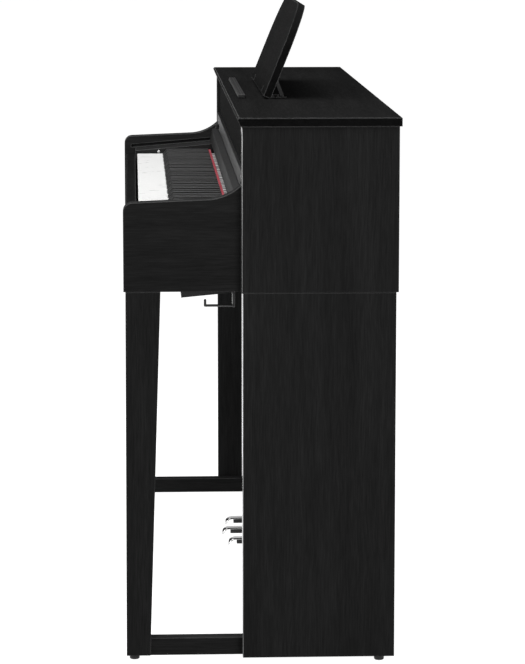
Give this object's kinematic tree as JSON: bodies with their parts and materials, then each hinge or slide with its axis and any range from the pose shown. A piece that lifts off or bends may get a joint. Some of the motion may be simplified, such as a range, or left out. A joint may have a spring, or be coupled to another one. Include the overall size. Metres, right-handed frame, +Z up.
{
  "type": "digital piano on stand",
  "caption": "Console digital piano with weighted keyboard, sliding key cover, folding music rest, panel stand with front legs, and pedal unit.",
  "frame": {"origin": "on the floor, under the middle of the piano's bounding box", "axes": "+X to the treble end, +Y to the back, +Z up"},
  "size_m": [1.461, 0.465, 1.0969],
  "materials": {
    "black_woodgrain": "embossed satin foil",
    "black_board": "matte",
    "gloss_black": "gloss",
    "moulded_black": "fine texture",
    "red_felt": "felt",
    "white_key": "satin",
    "black_key": "matte",
    "chrome": "polished",
    "black_steel": "satin",
    "steel": "brushed",
    "circuit_board": "solder mask",
    "sheet_metal": "zinc plated"
  },
  "bodies": {
    "stand": {"lid": "black_woodgrain", "upper_side_left": "black_woodgrain", "upper_side_right": "black_woodgrain", "stand_side_left": "black_woodgrain", "stand_side_right": "black_woodgrain", "arm_left": "black_woodgrain", "arm_right": "black_woodgrain", "cheek_block_left": "black_woodgrain", "cheek_block_right": "black_woodgrain", "cover_rail_left": "black_board", "cover_rail_right": "black_board", "key_bed": "black_board", "key_slip": "black_woodgrain", "front_board": "black_woodgrain", "control_panel": "gloss_black", "back_board": "black_board", "stand_back_board": "black_woodgrain", "front_leg_left": "black_woodgrain", "front_leg_right": "black_woodgrain", "floor_rail_left": "black_woodgrain", "floor_rail_right": "black_woodgrain", "glides": "moulded_black", "felt_strip": "red_felt", "under_tray": "moulded_black", "headphone_hanger": "black_steel", "phones_socket": "moulded_black", "music_ledge": "moulded_black", "rest_hinges": "black_steel", "stay_bases": "black_steel", "pedal_box": "black_woodgrain", "pedal_axle": "steel", "speakers": "black_steel", "main_board": "circuit_board", "power_supply": "sheet_metal", "key_frame": "moulded_black", "key_pivot_rod": "steel", "stop_felt": "red_felt", "sensor_strip": "circuit_board", "white_keys": "white_key", "black_keys": "black_key", "mains_inlet": "moulded_black", "assembly_screws": "black_steel"},
    "key_cover": {"key_cover": "black_woodgrain", "key_cover_lip": "gloss_black"},
    "music_rest": {"music_rest": "black_woodgrain"},
    "stay_left": {"stay_left": "black_steel"},
    "stay_right": {"stay_right": "black_steel"},
    "pedal_left": {"pedal_left": "chrome"},
    "pedal_middle": {"pedal_middle": "chrome"},
    "pedal_right": {"pedal_right": "chrome"},
    "volume_knob": {"volume_knob": "moulded_black"},
    "power_button": {"power_button": "moulded_black"},
    "white_key_c": {"white_key_c": "white_key"},
    "black_key_c_sharp": {"black_key_c_sharp": "black_key"},
    "white_key_d": {"white_key_d": "white_key"},
    "black_key_d_sharp": {"black_key_d_sharp": "black_key"},
    "white_key_e": {"white_key_e": "white_key"},
    "white_key_f": {"white_key_f": "white_key"},
    "black_key_f_sharp": {"black_key_f_sharp": "black_key"},
    "white_key_g": {"white_key_g": "white_key"}
  },
  "joints": [
    {"name": "cover_slide", "type": "slide", "parent": "stand", "child": "key_cover", "axis": [0, -0.9965, -0.0837], "range_m": [0, 0.158]},
    {"name": "rest_tilt", "type": "hinge", "parent": "stand", "child": "music_rest", "pos_m": [0, 0.0327, 0.932], "axis": [1, 0, 0], "range_deg": [-68, 0]},
    {"name": "stay_left_fold", "type": "hinge", "parent": "music_rest", "child": "stay_left", "pos_m": [-0.238, 0.04469, 0.96435], "axis": [1, 0, 0], "range_deg": [0, 136]},
    {"name": "stay_right_fold", "type": "hinge", "parent": "music_rest", "child": "stay_right", "pos_m": [0.238, 0.04469, 0.96435], "axis": [1, 0, 0], "range_deg": [0, 136]},
    {"name": "pedal_left_press", "type": "hinge", "parent": "stand", "child": "pedal_left", "pos_m": [-0.093, 0.0695, 0.07425], "axis": [1, 0, 0], "range_deg": [0, 4.8], "stiffness_Nm_per_rad": 30, "springref_deg": -3.44},
    {"name": "pedal_middle_press", "type": "hinge", "parent": "stand", "child": "pedal_middle", "pos_m": [0, 0.0695, 0.07425], "axis": [1, 0, 0], "range_deg": [0, 4.8], "stiffness_Nm_per_rad": 30, "springref_deg": -3.44},
    {"name": "pedal_right_press", "type": "hinge", "parent": "stand", "child": "pedal_right", "pos_m": [0.093, 0.0695, 0.07425], "axis": [1, 0, 0], "range_deg": [0, 4.8], "stiffness_Nm_per_rad": 30, "springref_deg": -3.44},
    {"name": "volume_slide", "type": "slide", "parent": "stand", "child": "volume_knob", "axis": [1, 0, 0], "range_m": [-0.016, 0.016]},
    {"name": "power_press", "type": "slide", "parent": "stand", "child": "power_button", "axis": [0, 1, 0], "range_m": [0, 0.0012], "stiffness_N_per_m": 400, "springref_m": -0.002},
    {"name": "white_key_c_press", "type": "hinge", "parent": "stand", "child": "white_key_c", "pos_m": [-0.05875, -0.0065, 0.738], "axis": [1, 0, 0], "range_deg": [0, 2.88], "stiffness_Nm_per_rad": 1.5, "springref_deg": -8.59},
    {"name": "black_key_c_sharp_press", "type": "hinge", "parent": "stand", "child": "black_key_c_sharp", "pos_m": [-0.0504, -0.0065, 0.738], "axis": [1, 0, 0], "range_deg": [0, 2.88], "stiffness_Nm_per_rad": 1.5, "springref_deg": -8.59},
    {"name": "white_key_d_press", "type": "hinge", "parent": "stand", "child": "white_key_d", "pos_m": [-0.03525, -0.0065, 0.738], "axis": [1, 0, 0], "range_deg": [0, 2.88], "stiffness_Nm_per_rad": 1.5, "springref_deg": -8.59},
    {"name": "black_key_d_sharp_press", "type": "hinge", "parent": "stand", "child": "black_key_d_sharp", "pos_m": [-0.0201, -0.0065, 0.738], "axis": [1, 0, 0], "range_deg": [0, 2.88], "stiffness_Nm_per_rad": 1.5, "springref_deg": -8.59},
    {"name": "white_key_e_press", "type": "hinge", "parent": "stand", "child": "white_key_e", "pos_m": [-0.01175, -0.0065, 0.738], "axis": [1, 0, 0], "range_deg": [0, 2.88], "stiffness_Nm_per_rad": 1.5, "springref_deg": -8.59},
    {"name": "white_key_f_press", "type": "hinge", "parent": "stand", "child": "white_key_f", "pos_m": [0.01175, -0.0065, 0.738], "axis": [1, 0, 0], "range_deg": [0, 2.88], "stiffness_Nm_per_rad": 1.5, "springref_deg": -8.59},
    {"name": "black_key_f_sharp_press", "type": "hinge", "parent": "stand", "child": "black_key_f_sharp", "pos_m": [0.019, -0.0065, 0.738], "axis": [1, 0, 0], "range_deg": [0, 2.88], "stiffness_Nm_per_rad": 1.5, "springref_deg": -8.59},
    {"name": "white_key_g_press", "type": "hinge", "parent": "stand", "child": "white_key_g", "pos_m": [0.03525, -0.0065, 0.738], "axis": [1, 0, 0], "range_deg": [0, 2.88], "stiffness_Nm_per_rad": 1.5, "springref_deg": -8.59}
  ],
  "couplings": [
    {"joint": "stay_left_fold", "follows": "rest_tilt", "ratio": -2},
    {"joint": "stay_right_fold", "follows": "rest_tilt", "ratio": -2}
  ]
}
